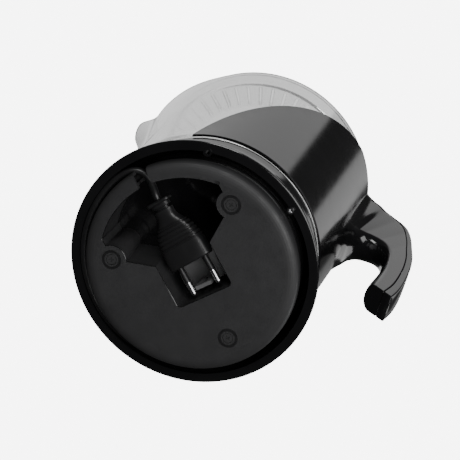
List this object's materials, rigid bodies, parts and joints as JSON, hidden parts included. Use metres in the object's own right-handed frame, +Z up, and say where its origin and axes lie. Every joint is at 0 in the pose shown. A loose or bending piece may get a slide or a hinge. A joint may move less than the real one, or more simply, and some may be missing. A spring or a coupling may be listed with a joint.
{
  "type": "electric citrus press",
  "caption": "Electric citrus press with a motor base and cord store, a lift-off clear jug with a spout and hooked handle, a slotted strainer and nested reamer cones.",
  "frame": {"origin": "on the main axis, in the plane that the base plate stands on", "axes": "+Z up along the spindle, +X towards the handle, -X towards the spout"},
  "size_m": [0.2197, 0.161, 0.2413],
  "materials": {
    "black_gloss": "gloss",
    "black_matte": "fine texture",
    "rubber_black": "moulded",
    "steel": "satin",
    "grey_plastic": "moulded",
    "copper": "enamelled winding",
    "magnet": "sintered",
    "nylon": "moulded",
    "bronze": "sintered",
    "clear_plastic": "clear",
    "cone_grey": "satin"
  },
  "bodies": {
    "base": {"base_shell": "black_gloss", "bottom_plate": "black_matte", "recess_walls": "black_matte", "winding_core": "black_matte", "foot_rings": "rubber_black", "plate_screws": "black_matte", "ledge_screw": "steel", "plug_holder": "grey_plastic", "cord_gland": "black_matte", "cord_coil": "rubber_black", "cord_lead": "rubber_black", "plug_body": "rubber_black", "plug_neck": "rubber_black", "plug_sleeves": "rubber_black", "plug_pins": "steel", "tower_cover": "black_gloss", "motor_lower_cap": "steel", "motor_stator": "copper", "motor_upper_cap": "steel", "motor_screws": "steel", "gear_plate": "steel", "gear_bridge": "steel", "gear_cover": "nylon", "lay_shaft": "steel", "spindle_bush": "bronze", "spindle_seal": "rubber_black", "press_spring": "steel", "switch_body": "black_matte", "supply_leads": "copper"},
    "rotor": {"rotor_magnet": "magnet", "rotor_shaft": "steel", "rotor_pinion": "nylon"},
    "layshaft_gear": {"lay_gear": "nylon"},
    "thrust": {"thrust_cup": "nylon"},
    "spindle": {"spindle": "steel", "output_gear": "nylon"},
    "plunger": {"switch_plunger": "nylon"},
    "jug": {"jug": "clear_plastic", "sleeve": "black_gloss", "handle_front": "black_matte", "handle_back": "black_matte", "handle_screws": "steel"},
    "strainer": {"strainer": "clear_plastic"},
    "pulp_ring": {"pulp_ring": "clear_plastic"},
    "slip_ring": {"slip_ring": "nylon"},
    "small_cone": {"small_cone": "cone_grey"},
    "large_cone": {"large_cone": "cone_grey"}
  },
  "joints": [
    {"name": "spindle_press", "type": "slide", "parent": "base", "child": "thrust", "axis": [0, 0, 1], "range_m": [-0.002, 0], "stiffness_N_per_m": 1500, "springref_m": 0.003, "deforming": ["press_spring"]},
    {"name": "spindle_spin", "type": "hinge", "parent": "thrust", "child": "spindle", "pos_m": [0, 0, 0.14], "axis": [0, 0, 1], "continuous": true},
    {"name": "rotor_spin", "type": "hinge", "parent": "base", "child": "rotor", "pos_m": [0, 0, 0.06], "axis": [0, 0, 1], "continuous": true},
    {"name": "lay_spin", "type": "hinge", "parent": "base", "child": "layshaft_gear", "pos_m": [0.0138, 0, 0.1], "axis": [0, 0, 1], "continuous": true},
    {"name": "switch_press", "type": "slide", "parent": "base", "child": "plunger", "axis": [0, 0, 1], "range_m": [-0.002, 0]},
    {"name": "jug_lift", "type": "slide", "parent": "base", "child": "jug", "axis": [0, 0, 1], "range_m": [0, 0.13]},
    {"name": "strainer_lift", "type": "slide", "parent": "jug", "child": "strainer", "axis": [0, 0, 1], "range_m": [0, 0.06]},
    {"name": "pulp_ring_turn", "type": "hinge", "parent": "strainer", "child": "pulp_ring", "pos_m": [0, 0, 0.185], "axis": [0, 0, 1], "range_deg": [0, 3.75]},
    {"name": "cone_press", "type": "slide", "parent": "strainer", "child": "slip_ring", "axis": [0, 0, 1], "range_m": [-0.002, 0]},
    {"name": "cone_spin", "type": "hinge", "parent": "slip_ring", "child": "small_cone", "pos_m": [0, 0, 0.19], "axis": [0, 0, 1], "continuous": true},
    {"name": "large_cone_lift", "type": "slide", "parent": "small_cone", "child": "large_cone", "axis": [0, 0, 1], "range_m": [0, 0.07]}
  ],
  "couplings": [
    {"joint": "rotor_spin", "follows": "spindle_spin", "ratio": 6.4762},
    {"joint": "lay_spin", "follows": "spindle_spin", "ratio": -2.2857},
    {"joint": "cone_spin", "follows": "spindle_spin", "ratio": 1},
    {"joint": "switch_press", "follows": "spindle_press", "ratio": 1},
    {"joint": "cone_press", "follows": "spindle_press", "ratio": 1}
  ]
}
